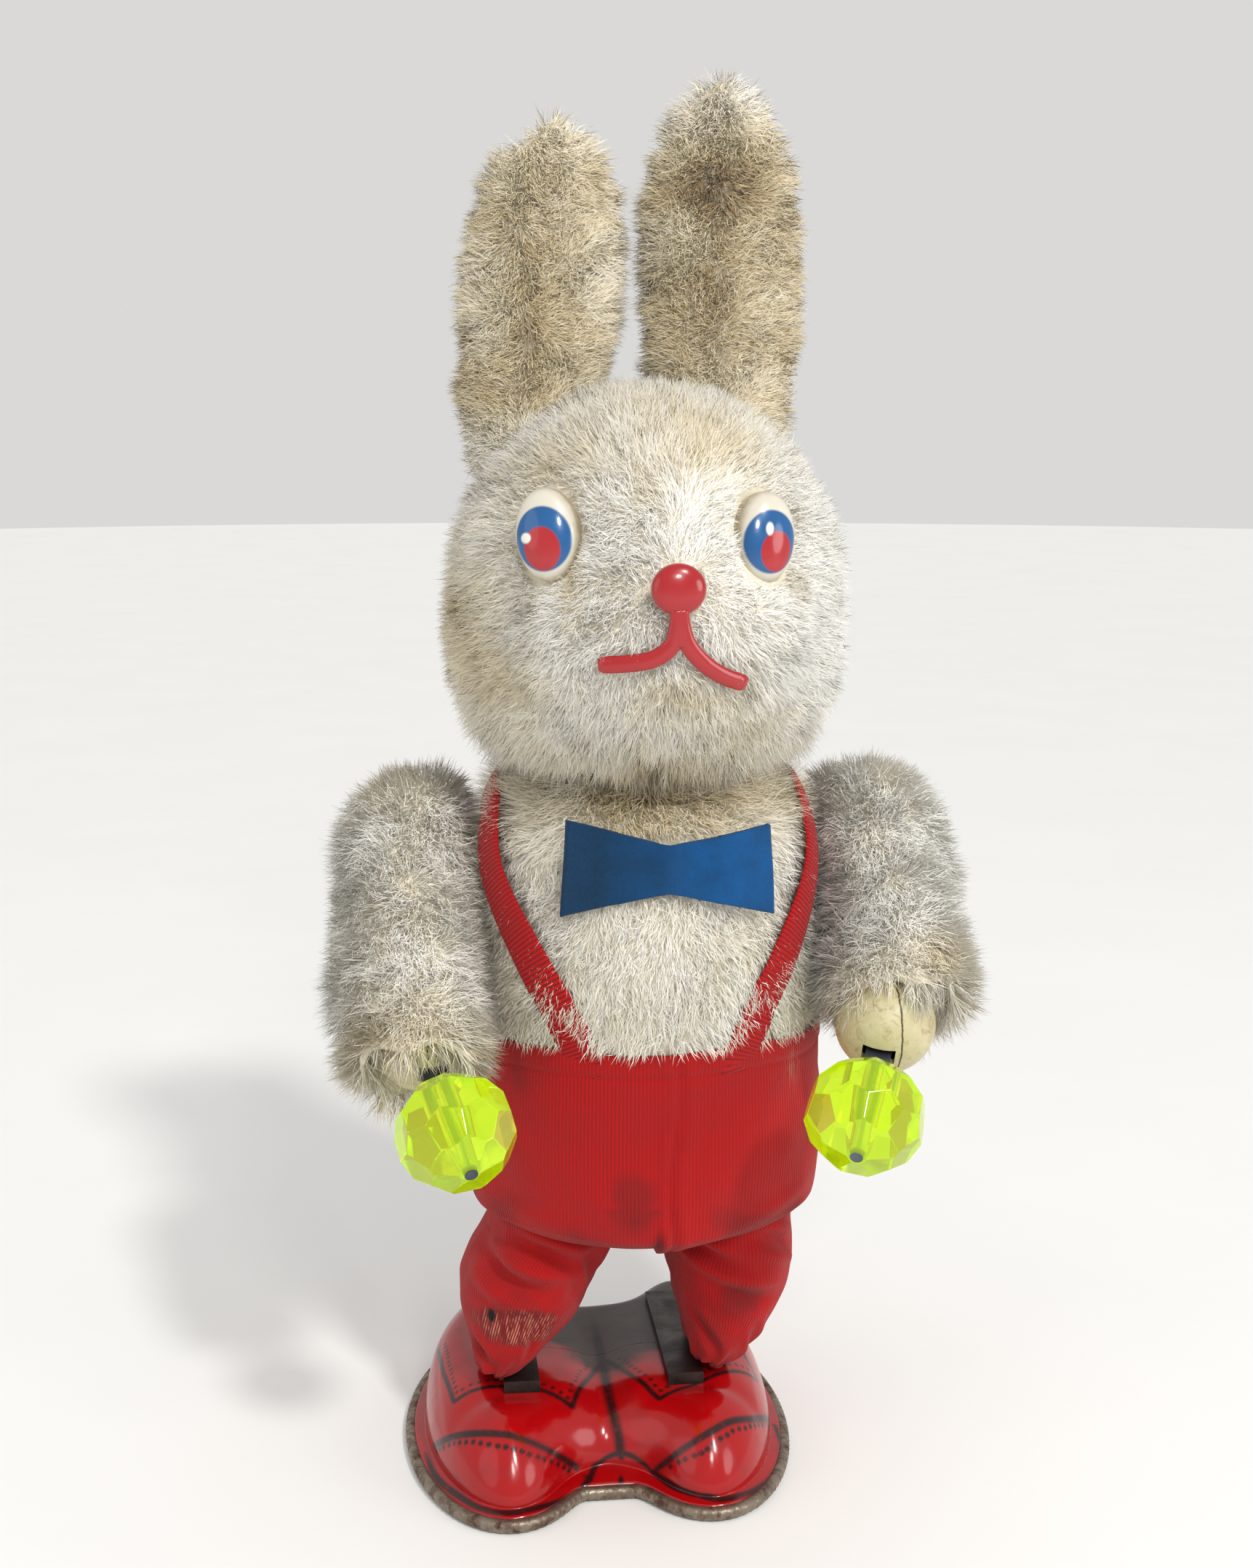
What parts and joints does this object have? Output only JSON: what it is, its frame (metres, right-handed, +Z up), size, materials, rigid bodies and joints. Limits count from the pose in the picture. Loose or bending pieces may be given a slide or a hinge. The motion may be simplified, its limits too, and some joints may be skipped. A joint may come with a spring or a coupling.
{
  "type": "wind-up toy",
  "caption": "Standing wind-up plush rabbit with tin shoes, cloth trousers, bow tie, beating arms with bead rattles and a turning head.",
  "frame": {"origin": "centre of the sole, on the ground", "axes": "+Z up, the toy faces -Y, its own left side is +X"},
  "size_m": [0.1086, 0.093, 0.2294],
  "materials": {
    "tin_red": "glossy printed tin",
    "sole_steel": "tarnished crimped tin plate",
    "strip_steel": "dark blued strip",
    "motor_steel": "plated motor plate",
    "gear_brass": "stamped brass",
    "spring_steel": "blued spring steel",
    "shell_card": "pressed board",
    "plush_white": "aged nylon plush",
    "plush_ear": "stained nylon plush",
    "trouser_cloth": "fine ribbed cloth",
    "suspender_tape": "ribbed tape",
    "bow_felt": "felt",
    "eye_gloss": "domed printed eye",
    "nose_red": "glossy red tin",
    "hand_shell": "aged hollow ball",
    "bead_clear": "fluorescent clear bead"
  },
  "bodies": {
    "root": {"arm_bracket": "motor_steel", "body_shell_back": "shell_card", "body_shell_front": "shell_card", "bow_tie": "bow_felt", "hip_rivets": "motor_steel", "hip_yoke": "motor_steel", "leg_bracket_left": "strip_steel", "leg_bracket_right": "strip_steel", "mainspring": "spring_steel", "motor_plate_back": "motor_steel", "motor_plate_front": "motor_steel", "neck_bearing": "motor_steel", "plate_pillars": "motor_steel", "shoe_upper": "tin_red", "sole_plate": "sole_steel", "suspender_left": "suspender_tape", "suspender_right": "suspender_tape", "torso_plush": "plush_white", "trouser_leg_left": "trouser_cloth", "trouser_leg_right": "trouser_cloth", "trousers_seat": "trouser_cloth"},
    "key": {"winding_key": "motor_steel", "main_arbor": "motor_steel", "great_wheel": "gear_brass", "ratchet_wheel": "motor_steel", "click": "motor_steel"},
    "second_gear": {"second_arbor": "motor_steel", "second_wheel": "gear_brass"},
    "crank": {"crank_arbor": "motor_steel", "third_wheel": "gear_brass", "crank_disc": "motor_steel"},
    "governor": {"governor_arbor": "motor_steel", "governor_fly": "gear_brass"},
    "arms": {"arm_shaft": "strip_steel", "arm_lever": "motor_steel", "arm_strip_left": "strip_steel", "arm_strip_right": "strip_steel", "hand_left": "hand_shell", "hand_right": "hand_shell", "bead_left": "bead_clear", "bead_right": "bead_clear", "sleeve_left": "plush_white", "sleeve_right": "plush_white"},
    "link": {"crank_link": "motor_steel"},
    "head": {"head_plush": "plush_white", "head_shell": "shell_card", "neck_post": "motor_steel", "eye_left": "eye_gloss", "eye_right": "eye_gloss", "nose_mouth": "nose_red", "ear_left": "plush_ear", "ear_right": "plush_ear", "ear_core_left": "shell_card", "ear_core_right": "shell_card"}
  },
  "joints": [
    {"name": "key_turn", "type": "hinge", "parent": "root", "child": "key", "pos_m": [0.008, 0, 0.068], "axis": [0, -1, 0], "continuous": true},
    {"name": "second_spin", "type": "hinge", "parent": "root", "child": "second_gear", "pos_m": [0.01675, 0, 0.08316], "axis": [0, -1, 0], "continuous": true},
    {"name": "crank_spin", "type": "hinge", "parent": "root", "child": "crank", "pos_m": [0.00434, 0, 0.08534], "axis": [0, -1, 0], "continuous": true},
    {"name": "governor_spin", "type": "hinge", "parent": "root", "child": "governor", "pos_m": [-0.00618, 0, 0.08151], "axis": [0, -1, 0], "continuous": true},
    {"name": "arm_swing", "type": "hinge", "parent": "root", "child": "arms", "pos_m": [0.008, 0, 0.106], "axis": [-1, 0, 0], "range_deg": [-15, 25]},
    {"name": "link_swing", "type": "hinge", "parent": "arms", "child": "link", "pos_m": [0.00434, -0.0131, 0.106], "axis": [-1, 0, 0], "range_deg": [-26, 16]},
    {"name": "head_turn", "type": "hinge", "parent": "root", "child": "head", "pos_m": [0.008, -0.001, 0.118], "axis": [0, 0, 1], "range_deg": [-25, 25]}
  ],
  "couplings": [
    {"joint": "second_spin", "follows": "key_turn", "ratio": -4},
    {"joint": "crank_spin", "follows": "key_turn", "ratio": 12},
    {"joint": "governor_spin", "follows": "key_turn", "ratio": -36},
    {"joint": "link_swing", "follows": "arm_swing", "ratio": -1}
  ]
}
